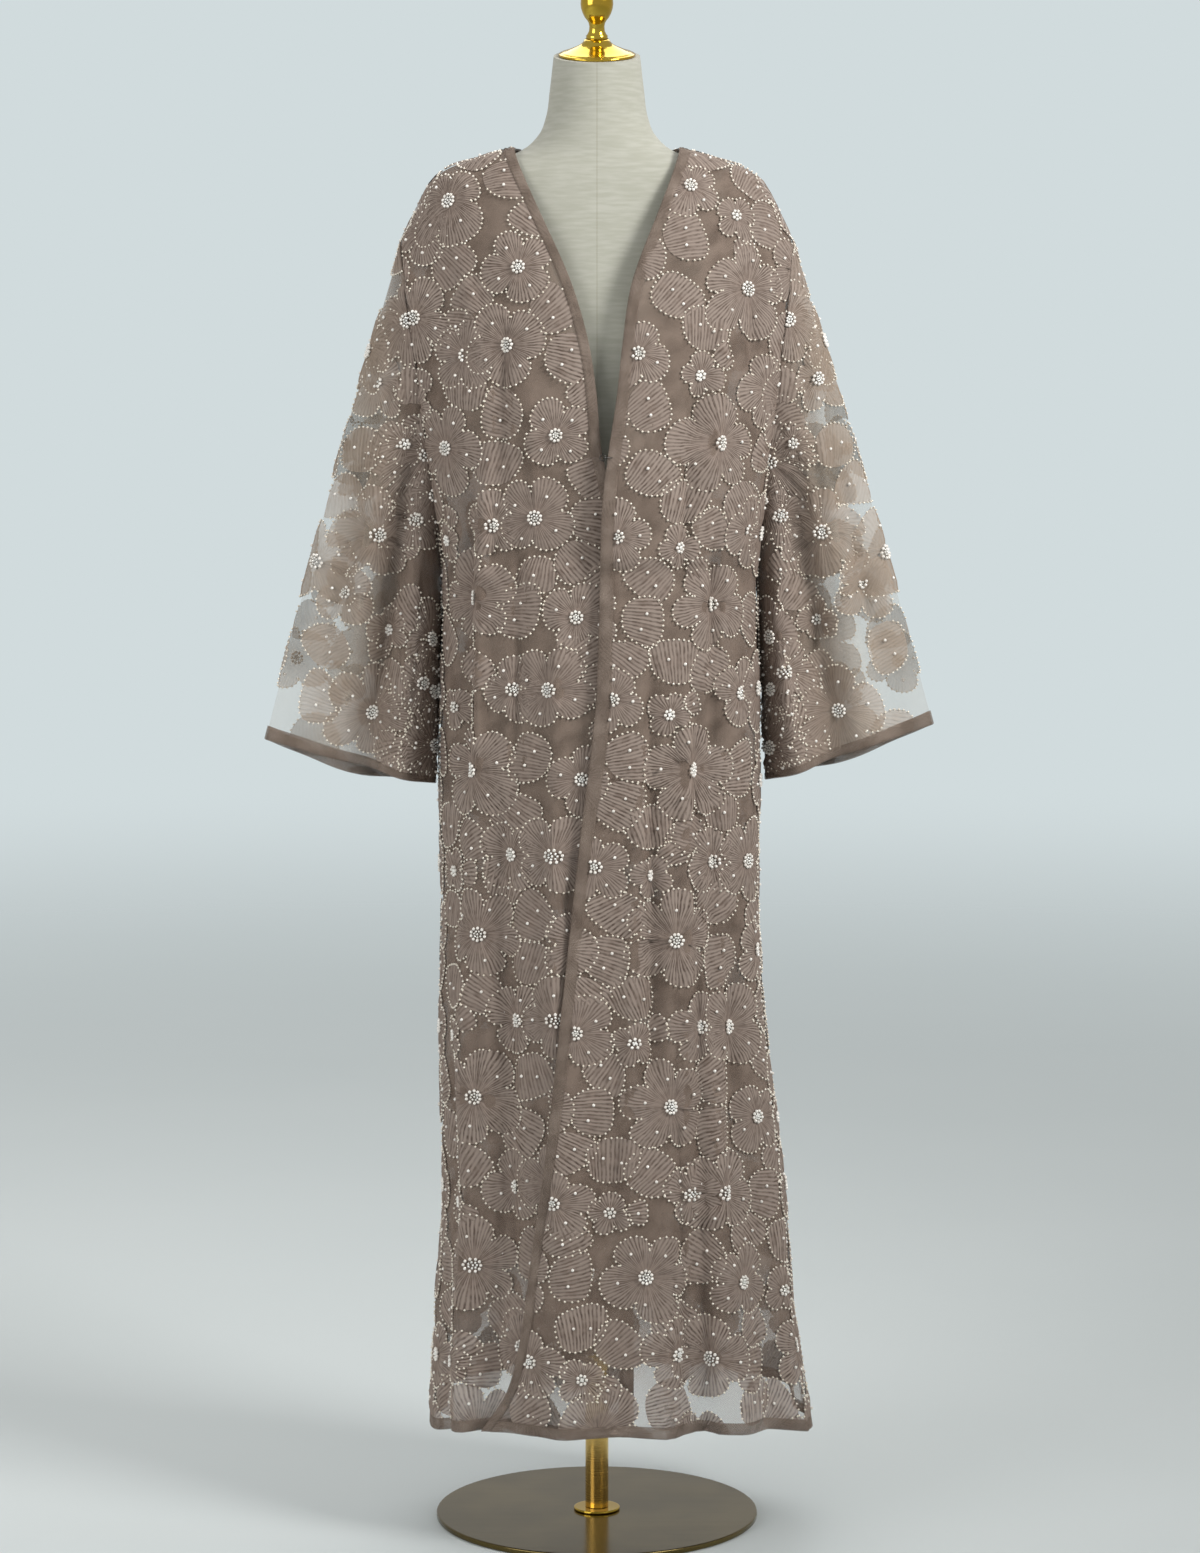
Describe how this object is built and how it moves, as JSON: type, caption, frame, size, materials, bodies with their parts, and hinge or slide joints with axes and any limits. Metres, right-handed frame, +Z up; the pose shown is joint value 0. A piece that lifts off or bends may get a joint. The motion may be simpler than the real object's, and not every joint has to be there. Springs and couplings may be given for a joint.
{
  "type": "open-front abaya cloak on a limbless dress form",
  "caption": "Long open-front abaya cloak of sheer embroidered net with wide sleeves, hanging on a limbless dress form with pole and round base.",
  "frame": {"origin": "centre of the base plate's underside, on the pole's axis", "axes": "+Z up along the pole, -Y the way the cloak faces, +X the wearer's left"},
  "size_m": [0.7516, 0.3707, 1.7244],
  "materials": {
    "embroidered_net": "sheer taupe tulle ground",
    "turned_hem": "folded tulle, denser than the ground",
    "hook_metal": "dark lacquered wire",
    "linen": "cream linen cover",
    "brushed_bronze": "brushed, mirror-like",
    "polished_brass": "polished",
    "pleated_petal": "gathered tulle petals",
    "pearl_bead": "small pearly seed beads",
    "silver_crystal": "silvered glass beads"
  },
  "bodies": {
    "root": {"front_left": "embroidered_net", "front_right": "embroidered_net", "back": "embroidered_net", "sleeve_left": "embroidered_net", "sleeve_right": "embroidered_net", "edge_hem_left": "turned_hem", "edge_hem_right": "turned_hem", "neck_hem_back": "turned_hem", "bottom_hem_front_left": "turned_hem", "bottom_hem_front_right": "turned_hem", "bottom_hem_back": "turned_hem", "cuff_hem_left": "turned_hem", "cuff_hem_right": "turned_hem", "hook": "hook_metal", "eye": "hook_metal", "dress_form": "linen", "base_plate": "brushed_bronze", "pole_flange": "polished_brass", "pole": "polished_brass", "neck_cap": "polished_brass", "finial": "polished_brass"}
  },
  "joints": []
}
